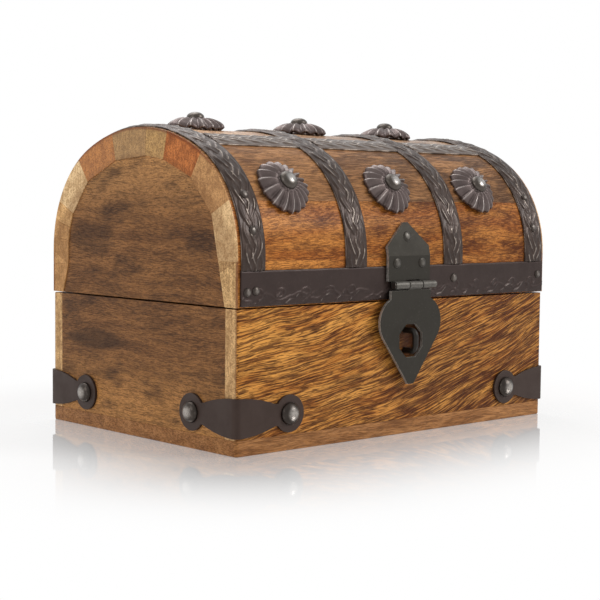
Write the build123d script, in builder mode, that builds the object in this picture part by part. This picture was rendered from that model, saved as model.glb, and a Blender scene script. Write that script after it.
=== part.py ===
from build123d import *
import math
import os

os.makedirs("parts", exist_ok=True)

# Treasure chest box, in millimetres: X along its length, front towards -Y, Z up,
# origin under the middle of the base

# Chest and base
chest_length = 160.0
chest_depth = 110.0
base_height = 49.2
bottom_thickness = 5.5
wall_thickness = 6.0
end_thickness = 6.0
corner_round = 1.5
edge_round = 0.5
overrun = 10.0

# Lid: straight sides, then side arcs that run into one wide arc over the top
seam_gap = 0.5
spring_rise = 16.1
haunch_radius = 42.0
crown_radius = 72.0
stave_depth = 10.0
rim_depth = 6.5
panel_thickness = 6.0
panel_recess = 0.4
stave_joint_shares = (0.080, 0.190, 0.306, 0.412, 0.476, 0.586, 0.710, 0.817, 0.856, 0.891, 0.944)

# Iron bands
band_thickness = 1.0
band_bevel = 0.3
arch_band_width = 10.4
end_band_inset = 1.4
mid_band_place_share = 0.32
band_edge_gap = 0.3
front_band_inset = 1.2
front_band_height = 12.0
ridge_band_width = 11.0
ridge_band_offset = 25.8

# Fluted rosettes and the round tack in the middle of each
rosette_radius = 10.9
rosette_height = 4.4
rosette_flutes = 18
rosette_skirt = 1.8
rosette_place_shares = (-0.68, -0.041, 0.555)
rosette_front_share = 0.217
rosette_level_shares = (1.0, 0.84, 0.53, 0.30)
rosette_height_shares = (0.14, 0.50, 0.84, 1.0)
flute_depth_share = 0.09
bead_radius = 3.6
bead_height = 2.3
bead_shank_radius = 1.0
bead_shank_length = 7.5

# Corner brackets
bracket_thickness = 1.0
bracket_height = 13.4
bracket_lift = 0.7
bracket_neck_reach = 16.5
bracket_neck_width = 7.5
bracket_arc_rise = 0.74
bracket_disc_radius = 6.5
bracket_disc_reach = 23.0
tack_radius = 3.75
tack_height = 2.5
tack_shank_radius = 1.0
tack_shank_length = 5.0

# Hasp: a riveted upper leaf, a rolled barrel and a hanging heart-shaped leaf
sheet_thickness = 1.2
barrel_radius = 1.5
barrel_length = 21.0
barrel_shift = 2.0
barrel_wall_gap = 0.3
barrel_rise = 5.3
knuckle_gap = 0.2
leaf_clearance = 0.35
pin_radius = 0.8
pin_clearance = 0.06
pin_head_radius = 1.2
pin_head_length = 0.5
plate_width = 21.8
plate_shoulder_rise = 14.0
plate_tip_rise = 22.8
plate_tip_width = 2.4
plate_wood_gap = 0.03
plate_crease_rise = 10.5
rivet_radius = 2.3
rivet_height = 1.3
rivet_shank_radius = 0.8
rivet_shank_length = 5.0
rivet_side_place = 6.6
rivet_side_rise = 8.0
rivet_top_rise = 17.5
heart_neck_width = 21.0
heart_neck_drop = 5.0
heart_flank_width = 28.4
heart_flank_drop = 19.0
heart_tip_width = 3.0
heart_drop = 36.2
heart_hole_width = 12.0
heart_hole_drop = 20.3
heart_set_back = 0.75
heart_hang_angle = 0.5

# Staple that passes through the heart's hole
wire_radius = 1.1
staple_gap = 5.2
staple_reach = 6.7
staple_bend_share = 0.6
staple_root = 5.0
wire_clearance = 0.02

# Back hinges
hinge_place_share = 0.6
hinge_width = 18.0
hinge_leaf_height = 10.0
hinge_leaf_thickness = 1.0
hinge_barrel_radius = 2.0
hinge_wall_gap = 0.25
hinge_pin_radius = 0.9
hinge_round = 1.5

# Worked out from the sizes above
half_length = chest_length / 2
half_depth = chest_depth / 2
lid_bottom = base_height + seam_gap
spring_z = lid_bottom + spring_rise
haunch_y = half_depth - haunch_radius
crown_z = spring_z - math.sqrt((crown_radius - haunch_radius) ** 2 - haunch_y**2)
haunch_angle = math.atan2(spring_z - crown_z, haunch_y)
haunch_run = haunch_radius * haunch_angle
crown_run = 2 * crown_radius * (math.pi / 2 - haunch_angle)
arch_run = 2 * (spring_rise + haunch_run) + crown_run


def arch_place(distance):
    """Outside point (y, z) and normal angle, at a distance round the lid from its front edge."""
    if distance > arch_run / 2:
        y, z, angle = arch_place(arch_run - distance)
        return -y, z, math.pi - angle
    if distance < spring_rise:
        return -half_depth, lid_bottom + distance, 0.0
    if distance < spring_rise + haunch_run:
        angle = (distance - spring_rise) / haunch_radius
        y = -haunch_y - haunch_radius * math.cos(angle)
        return y, spring_z + haunch_radius * math.sin(angle), angle
    angle = haunch_angle + (distance - spring_rise - haunch_run) / crown_radius
    return -crown_radius * math.cos(angle), crown_z + crown_radius * math.sin(angle), angle


def arch_point(distance, depth):
    """The point at a depth under the lid's outside, or above it where depth is negative."""
    y, z, angle = arch_place(distance)
    return y + depth * math.cos(angle), z - depth * math.sin(angle)


def arch_plane(x, distance):
    """Plane that lies on the lid's outside, its normal pointing out of the wood."""
    y, z, angle = arch_place(distance)
    return Plane(origin=(x, y, z), x_dir=(1, 0, 0), z_dir=(0, -math.cos(angle), math.sin(angle)))


def arch_section(lift):
    """Cross-section of the whole lid, grown outwards by lift."""
    haunch_turn = math.degrees(haunch_angle)
    side = half_depth + lift
    with BuildSketch() as section:
        with BuildLine():
            Line((-side, lid_bottom), (-side, spring_z))
            CenterArc((-haunch_y, spring_z), haunch_radius + lift, 180, -haunch_turn)
            CenterArc((0, crown_z), crown_radius + lift, 180 - haunch_turn, 2 * haunch_turn - 180)
            CenterArc((haunch_y, spring_z), haunch_radius + lift, haunch_turn, -haunch_turn)
            Line((side, spring_z), (side, lid_bottom))
            Line((side, lid_bottom), (-side, lid_bottom))
        make_face()
    return section.sketch


def arch_wedge(start, end, start_depth, end_depth):
    """Four-sided cutter that holds the lid's section between two distances round it."""
    with BuildSketch() as wedge:
        with BuildLine():
            Polyline(
                arch_point(start, -overrun),
                arch_point(start, start_depth),
                arch_point(end, end_depth),
                arch_point(end, -overrun),
                close=True,
            )
        make_face()
    return wedge.sketch


def dome_tack(head_radius, head_height, shank_radius, shank_length):
    """Round-headed nail whose head rests on the XY plane."""
    with BuildPart() as tack:
        with BuildSketch(Plane.XZ):
            with BuildLine():
                TangentArc((0, head_height), (head_radius, 0), tangent=(1, 0))
                Line((head_radius, 0), (shank_radius, 0))
                Line((shank_radius, 0), (shank_radius, -shank_length))
                Line((shank_radius, -shank_length), (0, -shank_length))
                Line((0, -shank_length), (0, head_height))
            make_face()
        revolve(axis=Axis.Z)
    return tack.part


def save(piece, name):
    """Labels a finished piece and writes its file."""
    piece.label = name
    export_step(piece, "parts/" + name + ".step")


# Places of the round-headed fasteners, each a plane on the face that carries it
bracket_mid = bottom_thickness + bracket_lift + bracket_height / 2
bracket_tack_planes = []
for side_x in (-1, 1):
    for side_y in (-1, 1):
        tack_x = side_x * (half_length - bracket_disc_reach)
        tack_y = side_y * (half_depth - bracket_disc_reach)
        long_face = (tack_x, side_y * half_depth, bracket_mid)
        end_face = (side_x * half_length, tack_y, bracket_mid)
        bracket_tack_planes.append(Plane(origin=long_face, x_dir=(1, 0, 0), z_dir=(0, side_y, 0)))
        bracket_tack_planes.append(Plane(origin=end_face, x_dir=(0, 1, 0), z_dir=(side_x, 0, 0)))

rosette_planes = {}
for place, share in zip(("left", "middle", "right"), rosette_place_shares):
    rosette_x = share * half_length
    rosette_planes["front_" + place] = arch_plane(rosette_x, rosette_front_share * arch_run)
    rosette_planes["top_" + place] = arch_plane(rosette_x, arch_run / 2)

# The hasp's pin stands off the lower band, and its upper leaf leans back from a crease to the arch
band_face_y = -half_depth - band_thickness
pin_y = band_face_y - barrel_wall_gap - barrel_radius
pin_z = lid_bottom + barrel_rise
crease_z = pin_z + plate_crease_rise
haunch_reach = math.hypot(-haunch_y - band_face_y, spring_z - crease_z)
lean_angle = math.degrees(
    math.acos((haunch_radius + plate_wood_gap) / haunch_reach)
    - math.atan2(spring_z - crease_z, -haunch_y - band_face_y)
)
plate_flat = Plane(origin=(0, band_face_y, pin_z), x_dir=(1, 0, 0), z_dir=(0, -1, 0))
plate_lean = Plane(origin=(0, band_face_y, crease_z), x_dir=(1, 0, 0), z_dir=(0, -1, 0))
plate_lean = plate_lean.rotated((-lean_angle, 0, 0))
rivet_planes = [
    plate_flat.shift_origin(plate_flat.from_local_coords((-rivet_side_place, rivet_side_rise, 0))),
    plate_flat.shift_origin(plate_flat.from_local_coords((rivet_side_place, rivet_side_rise, 0))),
    plate_lean.shift_origin(plate_lean.from_local_coords((0, rivet_top_rise - plate_crease_rise, 0))),
]


def drill_bits(planes, radius, depth):
    """Round cutters that reach to a depth under each plane."""
    with BuildPart() as bits:
        for plane in planes:
            with BuildSketch(plane.offset(overrun)):
                Circle(radius)
            extrude(amount=-overrun - depth)
    return bits.part


lid_section = arch_section(0)
band_section = arch_section(band_thickness)
bracket_bits = drill_bits(bracket_tack_planes, tack_shank_radius, tack_shank_length)
rosette_bits = drill_bits(
    rosette_planes.values(), bead_shank_radius, bead_shank_length - rosette_height
)
rivet_bits = drill_bits(rivet_planes, rivet_shank_radius, rivet_shank_length)


# Base boards
with BuildPart() as bottom_board:
    with BuildSketch():
        RectangleRounded(chest_length, chest_depth, corner_round)
    extrude(amount=bottom_thickness)
    fillet(bottom_board.faces().sort_by(Axis.Z)[0].edges(), edge_round)
save(bottom_board.part, "bottom_board")

wall_height = base_height - bottom_thickness
staple_z = pin_z - heart_hole_drop
leg_offset = staple_gap / 2 + wire_radius
for side_y, name in ((-1, "front_board"), (1, "back_board")):
    with BuildPart() as wall:
        with BuildSketch(Plane.XY.offset(bottom_thickness)):
            with Locations((0, side_y * (half_depth - wall_thickness / 2))):
                Rectangle(chest_length, wall_thickness)
        extrude(amount=wall_height)
        outer_edges = wall.edges().filter_by(Axis.Z).group_by(Axis.Y)[0 if side_y < 0 else -1]
        fillet(outer_edges, corner_round)
        add(bracket_bits, mode=Mode.SUBTRACT)
        if side_y < 0:
            with BuildSketch(Plane.XZ.offset(half_depth + overrun)):
                with Locations((0, staple_z - leg_offset), (0, staple_z + leg_offset)):
                    Circle(wire_radius + wire_clearance)
            extrude(amount=-overrun - staple_root, mode=Mode.SUBTRACT)
    save(wall.part, name)

for side_x, name in ((-1, "end_board_left"), (1, "end_board_right")):
    with BuildPart() as end_board:
        with BuildSketch(Plane.XY.offset(bottom_thickness)):
            with Locations((side_x * (half_length - end_thickness / 2), 0)):
                Rectangle(end_thickness, chest_depth - 2 * wall_thickness)
        extrude(amount=wall_height)
        add(bracket_bits, mode=Mode.SUBTRACT)
    save(end_board.part, name)


def bracket_side(side, length):
    """One arm of a bracket, seen square to its face: a tapering tongue that ends in a disc."""
    edge = side * length / 2
    outer = edge + side * overrun
    neck = edge - side * bracket_neck_reach
    crest = edge - side * bracket_neck_reach / 2
    disc = edge - side * bracket_disc_reach
    corner_half = bracket_height / 2
    neck_half = bracket_neck_width / 2
    crest_half = (corner_half + neck_half) / 2 + bracket_arc_rise
    with BuildSketch() as arm:
        with BuildLine():
            Line((outer, bracket_mid - corner_half), (outer, bracket_mid + corner_half))
            Line((outer, bracket_mid + corner_half), (edge, bracket_mid + corner_half))
            ThreePointArc(
                (edge, bracket_mid + corner_half),
                (crest, bracket_mid + crest_half),
                (neck, bracket_mid + neck_half),
            )
            Line((neck, bracket_mid + neck_half), (disc, bracket_mid + neck_half))
            Line((disc, bracket_mid + neck_half), (disc, bracket_mid - neck_half))
            Line((disc, bracket_mid - neck_half), (neck, bracket_mid - neck_half))
            ThreePointArc(
                (neck, bracket_mid - neck_half),
                (crest, bracket_mid - crest_half),
                (edge, bracket_mid - corner_half),
            )
            Line((edge, bracket_mid - corner_half), (outer, bracket_mid - corner_half))
        make_face()
        with Locations((disc, bracket_mid)):
            Circle(bracket_disc_radius)
            Circle(tack_shank_radius, mode=Mode.SUBTRACT)
    return arm.sketch


# Corner brackets: sheet wrapped round each corner of the base
bracket_reach = bracket_disc_reach + bracket_disc_radius
wrap = 2 * bracket_thickness
for side_x, name_x in ((-1, "left"), (1, "right")):
    for side_y, name_y in ((-1, "front"), (1, "back")):
        long_arm = bracket_side(side_x, chest_length)
        end_arm = bracket_side(side_y, chest_depth)
        with BuildPart() as bracket:
            with BuildSketch(Plane.XY.offset(bracket_mid - bracket_height / 2)):
                RectangleRounded(chest_length + wrap, chest_depth + wrap, corner_round + bracket_thickness)
                RectangleRounded(chest_length, chest_depth, corner_round, mode=Mode.SUBTRACT)
                with Locations((side_x * half_length, side_y * half_depth)):
                    Rectangle(2 * bracket_reach, 2 * bracket_reach, mode=Mode.INTERSECT)
            extrude(amount=bracket_height)
            with BuildSketch(Plane.XZ):
                add(long_arm)
            extrude(amount=chest_depth, both=True, mode=Mode.INTERSECT)
            with BuildSketch(Plane.YZ):
                add(end_arm)
            extrude(amount=chest_length, both=True, mode=Mode.INTERSECT)
        save(bracket.part, "bracket_" + name_y + "_" + name_x)

bracket_tack = dome_tack(
    tack_radius, tack_height, tack_shank_radius, tack_shank_length + bracket_thickness
)
with BuildPart() as bracket_tacks:
    with Locations(*[plane.offset(bracket_thickness) for plane in bracket_tack_planes]):
        add(bracket_tack)
save(bracket_tacks.part, "bracket_tacks")

# Staple: a bent wire whose two legs are driven into the front board
staple_end = -half_depth - staple_reach + wire_radius
staple_start = -half_depth + staple_root
with BuildPart() as staple:
    with BuildLine(Plane.YZ):
        FilletPolyline(
            (staple_start, staple_z - leg_offset),
            (staple_end, staple_z - leg_offset),
            (staple_end, staple_z + leg_offset),
            (staple_start, staple_z + leg_offset),
            radius=staple_bend_share * leg_offset,
        )
    with BuildSketch(Plane.XZ.offset(-staple_start)):
        with Locations((0, staple_z - leg_offset)):
            Circle(wire_radius)
    sweep()
save(staple.part, "staple")

# Lid staves: each a board with bevelled edges, flat inside and rounded outside
stave_edges = [share * arch_run for share in (0.0, *stave_joint_shares, 1.0)]
edge_depths = [rim_depth] + [stave_depth] * len(stave_joint_shares) + [rim_depth]
for number in range(len(stave_edges) - 1):
    wedge = arch_wedge(
        stave_edges[number], stave_edges[number + 1], edge_depths[number], edge_depths[number + 1]
    )
    with BuildPart() as stave:
        with BuildSketch(Plane.YZ.offset(-half_length)):
            add(lid_section)
            add(wedge, mode=Mode.INTERSECT)
        extrude(amount=chest_length)
        add(rosette_bits, mode=Mode.SUBTRACT)
        add(rivet_bits, mode=Mode.SUBTRACT)
    save(stave.part, "lid_stave_" + str(number + 1).zfill(2))

# End panels that close the ring of staves
panel_points = [arch_point(edge, depth) for edge, depth in zip(stave_edges, edge_depths)]
for start_x, name in (
    (-half_length + panel_recess, "lid_panel_left"),
    (half_length - panel_recess - panel_thickness, "lid_panel_right"),
):
    with BuildPart() as panel:
        with BuildSketch(Plane.YZ.offset(start_x)):
            with BuildLine():
                Polyline(*panel_points, close=True)
            make_face()
        extrude(amount=panel_thickness)
    save(panel.part, name)

# Arch bands run over the lid, from the top of the front band to the lid's back edge
front_band_bottom = lid_bottom + band_edge_gap
front_band_top = front_band_bottom + front_band_height
end_band_x = half_length - end_band_inset - arch_band_width / 2
mid_band_x = mid_band_place_share * half_length
band_xs = (-end_band_x, -mid_band_x, mid_band_x, end_band_x)
for name, band_x in zip(("left_end", "left_mid", "right_mid", "right_end"), band_xs):
    with BuildPart() as arch_band:
        with BuildSketch(Plane.YZ.offset(band_x - arch_band_width / 2)):
            add(band_section)
            add(lid_section, mode=Mode.SUBTRACT)
            with Locations((-half_depth, lid_bottom)):
                Rectangle(2 * overrun, 2 * (front_band_top - lid_bottom), mode=Mode.SUBTRACT)
            with Locations((half_depth, lid_bottom)):
                Rectangle(2 * overrun, 2 * band_edge_gap, mode=Mode.SUBTRACT)
        extrude(amount=arch_band_width)
    save(arch_band.part, "arch_band_" + name)

with BuildPart() as front_band:
    with BuildSketch(Plane.XZ.offset(half_depth)):
        with Locations((0, (front_band_bottom + front_band_top) / 2)):
            Rectangle(chest_length - 2 * front_band_inset, front_band_height)
    extrude(amount=band_thickness)
    chamfer(front_band.faces().sort_by(Axis.Y)[0].edges(), band_bevel)
    add(rivet_bits, mode=Mode.SUBTRACT)
save(front_band.part, "front_band")

# Ridge bands lie between the arch bands, one on each side of the top
for side, name in ((-1, "ridge_band_front"), (1, "ridge_band_back")):
    middle = arch_run / 2 + side * ridge_band_offset
    half_width = ridge_band_width / 2
    wedge = arch_wedge(middle - half_width, middle + half_width, stave_depth, stave_depth)
    with BuildPart() as ridge_band:
        for left_x, right_x in zip(band_xs, band_xs[1:]):
            with BuildSketch(Plane.YZ.offset(left_x + arch_band_width / 2)):
                add(band_section)
                add(lid_section, mode=Mode.SUBTRACT)
                add(wedge, mode=Mode.INTERSECT)
            extrude(amount=right_x - left_x - arch_band_width)
    save(ridge_band.part, name)

# Rosettes: a fluted dome whose rim is cut to sit on the curved wood
level_heights = [share * rosette_height for share in rosette_height_shares]
level_radii = [share * rosette_radius for share in rosette_level_shares]
levels = [(-rosette_skirt, rosette_radius)] + list(zip(level_heights, level_radii))
for name, plane in rosette_planes.items():
    with BuildPart() as rosette:
        for height, radius in levels:
            corners = []
            for step in range(2 * rosette_flutes):
                reach = radius * (1 - flute_depth_share * (step % 2))
                turn = math.pi * step / rosette_flutes
                corners.append((reach * math.cos(turn), reach * math.sin(turn)))
            with BuildSketch(plane.offset(height)):
                with BuildLine():
                    Polyline(*corners, close=True)
                make_face()
        loft(ruled=True)
        with BuildSketch(Plane.YZ.offset(-half_length)):
            add(lid_section)
        extrude(amount=chest_length, mode=Mode.SUBTRACT)
        add(rosette_bits, mode=Mode.SUBTRACT)
    save(rosette.part, "rosette_" + name)

bead = dome_tack(bead_radius, bead_height, bead_shank_radius, bead_shank_length)
with BuildPart() as rosette_tacks:
    with Locations(*[plane.offset(rosette_height) for plane in rosette_planes.values()]):
        add(bead)
save(rosette_tacks.part, "rosette_tacks")

# Hasp: the upper leaf carries the outer knuckles, the heart the middle one
knuckle_length = barrel_length / 3
half_knuckle = knuckle_length / 2
knuckle_end = Plane(origin=(barrel_shift - half_knuckle, pin_y, pin_z), x_dir=(0, 1, 0), z_dir=(1, 0, 0))
barrel_clear = barrel_radius + leaf_clearance

with BuildPart() as hasp_plate:
    with BuildSketch(plate_flat):
        with Locations((0, plate_crease_rise / 2)):
            Rectangle(plate_width, plate_crease_rise)
    extrude(amount=sheet_thickness)
    with BuildSketch(plate_lean):
        shoulder = plate_shoulder_rise - plate_crease_rise
        top = plate_tip_rise - plate_crease_rise
        with BuildLine():
            Polyline(
                (-plate_width / 2, 0),
                (plate_width / 2, 0),
                (plate_width / 2, shoulder),
                (plate_tip_width / 2, top),
                (-plate_tip_width / 2, top),
                (-plate_width / 2, shoulder),
                close=True,
            )
        make_face()
    extrude(amount=sheet_thickness)
    # The crease: a round rod of sheet thickness joins the two flats
    with BuildSketch(Plane.YZ.offset(-plate_width / 2)):
        with BuildLine():
            lean = math.radians(lean_angle)
            bend_y = band_face_y - sheet_thickness
            turned = (
                band_face_y - sheet_thickness * math.cos(lean),
                crease_z + sheet_thickness * math.sin(lean),
            )
            Line((band_face_y, crease_z), (bend_y, crease_z))
            RadiusArc((bend_y, crease_z), turned, sheet_thickness)
            Line(turned, (band_face_y, crease_z))
        make_face()
    extrude(amount=plate_width)
    with BuildSketch(knuckle_end.offset(half_knuckle - barrel_length / 2)):
        Circle(barrel_radius)
    extrude(amount=knuckle_length - knuckle_gap)
    with BuildSketch(knuckle_end.offset(knuckle_length + knuckle_gap)):
        Circle(barrel_radius)
    extrude(amount=knuckle_length - knuckle_gap)
    with BuildSketch(plate_flat.offset(-overrun)):
        with Locations((barrel_shift, 0)):
            Rectangle(knuckle_length + 2 * knuckle_gap, 2 * barrel_clear)
        with Locations((barrel_shift - (barrel_length + overrun) / 2, 0)):
            Rectangle(overrun, 2 * barrel_radius)
    extrude(amount=2 * overrun, mode=Mode.SUBTRACT)
    with BuildSketch(knuckle_end.offset(-barrel_length)):
        Circle(pin_radius)
    extrude(amount=2 * barrel_length, mode=Mode.SUBTRACT)
    add(rivet_bits, mode=Mode.SUBTRACT)
save(hasp_plate.part, "hasp_plate")

rivet = dome_tack(
    rivet_radius, rivet_height, rivet_shank_radius, rivet_shank_length + sheet_thickness
)
with BuildPart() as hasp_rivets:
    with Locations(*[plane.offset(sheet_thickness) for plane in rivet_planes]):
        add(rivet)
save(hasp_rivets.part, "hasp_rivets")

with BuildPart() as hasp_pin:
    with BuildSketch(knuckle_end.offset(half_knuckle - barrel_length / 2)):
        Circle(pin_radius)
    extrude(amount=barrel_length)
    for start in (-barrel_length / 2 - pin_head_length, barrel_length / 2):
        with BuildSketch(knuckle_end.offset(half_knuckle + start)):
            Circle(pin_head_radius)
        extrude(amount=pin_head_length)
save(hasp_pin.part, "hasp_pin")

hang = math.radians(heart_hang_angle)
heart_plane = Plane(
    origin=(0, pin_y, pin_z), x_dir=(1, 0, 0), z_dir=(0, -math.cos(hang), math.sin(hang))
)
flank_run = (heart_flank_width - heart_tip_width) / 2
flank_rise = heart_drop - heart_flank_drop
with BuildPart() as hasp_heart:
    with BuildSketch(heart_plane.offset(-heart_set_back)):
        with BuildLine():
            for side in (-1, 1):
                Line((0, -barrel_clear), (side * heart_neck_width / 2, -barrel_clear))
                Line(
                    (side * heart_neck_width / 2, -barrel_clear),
                    (side * heart_neck_width / 2, -heart_neck_drop),
                )
                TangentArc(
                    (side * heart_flank_width / 2, -heart_flank_drop),
                    (side * heart_neck_width / 2, -heart_neck_drop),
                    tangent=(side * flank_run, flank_rise),
                )
                Line(
                    (side * heart_flank_width / 2, -heart_flank_drop),
                    (side * heart_tip_width / 2, -heart_drop),
                )
                Line((side * heart_tip_width / 2, -heart_drop), (0, -heart_drop))
        make_face()
        with Locations((barrel_shift, -barrel_clear / 2)):
            Rectangle(knuckle_length - 2 * knuckle_gap, barrel_clear)
        with Locations((0, -heart_hole_drop)):
            RegularPolygon(
                heart_hole_width / 2, 8, major_radius=False, rotation=22.5, mode=Mode.SUBTRACT
            )
    extrude(amount=sheet_thickness)
    with BuildSketch(knuckle_end.offset(knuckle_gap)):
        Circle(barrel_radius)
    extrude(amount=knuckle_length - 2 * knuckle_gap)
    with BuildSketch(knuckle_end):
        Circle(pin_radius + pin_clearance)
    extrude(amount=knuckle_length, mode=Mode.SUBTRACT)
save(hasp_heart.part, "hasp_heart")

# Back hinges: two leaves on the outside of the wood, with a rolled barrel along the seam
hinge_y = half_depth + hinge_wall_gap + hinge_barrel_radius
hinge_z = base_height + seam_gap / 2
hinge_knuckle = hinge_width / 3
hinge_clear = hinge_barrel_radius + leaf_clearance
hinge_place = hinge_place_share * half_length
for side_x, name in ((-1, "left"), (1, "right")):
    hinge_start = side_x * hinge_place - hinge_width / 2
    hinge_end = Plane(origin=(hinge_start, hinge_y, hinge_z), x_dir=(0, 1, 0), z_dir=(1, 0, 0))
    leaf_plane = Plane(
        origin=(side_x * hinge_place, half_depth, hinge_z), x_dir=(-1, 0, 0), z_dir=(0, 1, 0)
    )
    outer_knuckles = (
        (0, hinge_knuckle - knuckle_gap),
        (2 * hinge_knuckle + knuckle_gap, hinge_knuckle - knuckle_gap),
    )
    middle_knuckle = ((hinge_knuckle + knuckle_gap, hinge_knuckle - 2 * knuckle_gap),)
    for leaf_name, direction, knuckles in (
        ("base_leaf", -1, outer_knuckles),
        ("lid_leaf", 1, middle_knuckle),
    ):
        with BuildPart() as leaf:
            with BuildSketch(leaf_plane):
                with Locations((0, direction * (seam_gap / 2 + hinge_leaf_height / 2))):
                    RectangleRounded(hinge_width, hinge_leaf_height, hinge_round)
                with Locations((0, direction * (seam_gap + hinge_round) / 2)):
                    Rectangle(hinge_width, hinge_round)
                if direction > 0:
                    for third in (-1, 1):
                        with Locations((third * hinge_knuckle, 0)):
                            Rectangle(
                                hinge_knuckle + 2 * knuckle_gap, 2 * hinge_clear, mode=Mode.SUBTRACT
                            )
                else:
                    Rectangle(hinge_knuckle + 2 * knuckle_gap, 2 * hinge_clear, mode=Mode.SUBTRACT)
            extrude(amount=hinge_leaf_thickness)
            for start, length in knuckles:
                with BuildSketch(hinge_end.offset(start)):
                    Circle(hinge_barrel_radius)
                extrude(amount=length)
            bore = hinge_pin_radius + (pin_clearance if direction > 0 else 0)
            with BuildSketch(hinge_end.offset(-overrun)):
                Circle(bore)
            extrude(amount=hinge_width + 2 * overrun, mode=Mode.SUBTRACT)
        save(leaf.part, "hinge_" + name + "_" + leaf_name)
    with BuildPart() as hinge_pin:
        with BuildSketch(hinge_end):
            Circle(hinge_pin_radius)
        extrude(amount=hinge_width)
    save(hinge_pin.part, "hinge_" + name + "_pin")
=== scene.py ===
import bmesh
import bpy
import math
from mathutils import Matrix, Vector


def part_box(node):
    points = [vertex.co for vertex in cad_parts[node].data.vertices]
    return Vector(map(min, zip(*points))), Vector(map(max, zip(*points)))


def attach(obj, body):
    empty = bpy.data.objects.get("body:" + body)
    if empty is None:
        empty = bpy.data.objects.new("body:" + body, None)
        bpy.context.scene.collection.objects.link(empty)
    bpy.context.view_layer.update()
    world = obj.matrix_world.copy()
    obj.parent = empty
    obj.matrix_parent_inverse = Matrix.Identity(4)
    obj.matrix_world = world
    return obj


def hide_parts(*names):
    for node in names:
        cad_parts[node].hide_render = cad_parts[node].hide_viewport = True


# A small domed chest of varnished wood with iron fittings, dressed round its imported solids
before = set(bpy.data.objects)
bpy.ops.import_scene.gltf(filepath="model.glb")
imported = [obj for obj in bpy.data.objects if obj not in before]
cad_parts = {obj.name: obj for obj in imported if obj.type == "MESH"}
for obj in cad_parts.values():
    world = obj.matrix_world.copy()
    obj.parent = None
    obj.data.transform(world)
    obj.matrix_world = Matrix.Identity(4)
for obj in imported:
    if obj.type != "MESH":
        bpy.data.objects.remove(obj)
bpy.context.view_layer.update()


def span(node, axis):
    """Middle and width of a CAD node along an axis."""
    low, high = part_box(node)
    return (low[axis] + high[axis]) / 2, high[axis] - low[axis]


# Sizes in metres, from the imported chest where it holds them
MM = 0.001
half_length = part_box("bottom_board")[1].x
half_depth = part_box("bottom_board")[1].y
lid_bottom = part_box("lid_stave_01")[0].z
haunch_radius = 42 * MM
crown_radius = 72 * MM
spring_rise = 16.1 * MM
sheet = 0.8 * MM
pin_y, pin_z = span("hasp_pin", 1)[0], span("hasp_pin", 2)[0]
barrel_radius = 1.6 * MM

# The bands over the arch, from left to right
arch_sides = ("left_end", "left_mid", "right_mid", "right_end")

# The lid's arch, measured over the wood from its top line, towards the front below zero
haunch_angle = math.acos((half_depth - haunch_radius) / (crown_radius - haunch_radius))
haunch_run = haunch_radius * haunch_angle
crown_half = crown_radius * (math.pi / 2 - haunch_angle)
arch_half = crown_half + haunch_run + spring_rise
arch_top = lid_bottom + spring_rise + crown_radius
arch_top -= (crown_radius - haunch_radius) * math.sin(haunch_angle)


def front_distance(height):
    """Distance over the arch of a height on the lid's upright front."""
    return -(arch_half - height + lid_bottom)


def arch_place(distance, lift=0.0):
    """Where a point of the lid's outside is (y, z), and how far its normal leans from upright."""
    run = abs(distance)
    first = min(run, crown_half) / crown_radius
    turn = first + min(max(run - crown_half, 0), haunch_run) / haunch_radius
    drop = max(run - crown_half - haunch_run, 0)
    y = crown_radius * math.sin(first) + haunch_radius * (math.sin(turn) - math.sin(first))
    z = arch_top - crown_radius * (1 - math.cos(first)) - drop
    z -= haunch_radius * (math.cos(first) - math.cos(turn))
    side = math.copysign(1, distance)
    return side * (y + lift * math.sin(turn)), z + lift * math.cos(turn), side * turn


def srgb(red, green, blue):
    """Linear colour of the 0 to 255 values that a colour picker shows."""
    linear = []
    for value in (red, green, blue):
        share = value / 255
        linear.append(share / 12.92 if share <= 0.04045 else ((share + 0.055) / 1.055) ** 2.4)
    return (*linear, 1.0)


def shaded(colour, share):
    """A linear colour made darker, or lighter by a share over one."""
    return (*(share * part for part in colour[:3]), 1.0)


class Value:
    """A socket of a node tree that takes part in Python sums."""

    def __init__(self, nodes, socket):
        self.nodes = nodes
        self.socket = socket

    def math(self, operation, *others):
        values = dict(enumerate((self, *others)))
        return self.nodes.add("ShaderNodeMath", {"operation": operation}, values)

    def __add__(self, other):
        return self.math("ADD", other)

    def __sub__(self, other):
        return self.math("SUBTRACT", other)

    def __mul__(self, other):
        return self.math("MULTIPLY", other)

    def __truediv__(self, other):
        return self.math("DIVIDE", other)

    def __pow__(self, other):
        return self.math("POWER", other)

    def __mod__(self, other):
        return self.math("FLOORED_MODULO", other)

    def __abs__(self):
        return self.math("ABSOLUTE")

    def __rsub__(self, other):
        return self * -1 + other

    __radd__ = __add__
    __rmul__ = __mul__

    def above(self, other):
        return self.math("GREATER_THAN", other)

    def least(self, other):
        return self.math("MINIMUM", other)

    def most(self, other):
        return self.math("MAXIMUM", other)

    def sign(self):
        return self.math("SIGN")

    def sin(self):
        return self.math("SINE")

    def cos(self):
        return self.math("COSINE")

    def root(self):
        return self.math("SQRT")

    def ramp(self, start, end, low=0.0, high=1.0):
        """Runs smoothly from low at start to high at end, and stays there outside them."""
        settings = {"interpolation_type": "SMOOTHSTEP"}
        values = {0: self, 1: start, 2: end, 3: low, 4: high}
        return self.nodes.add("ShaderNodeMapRange", settings, values)


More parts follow.
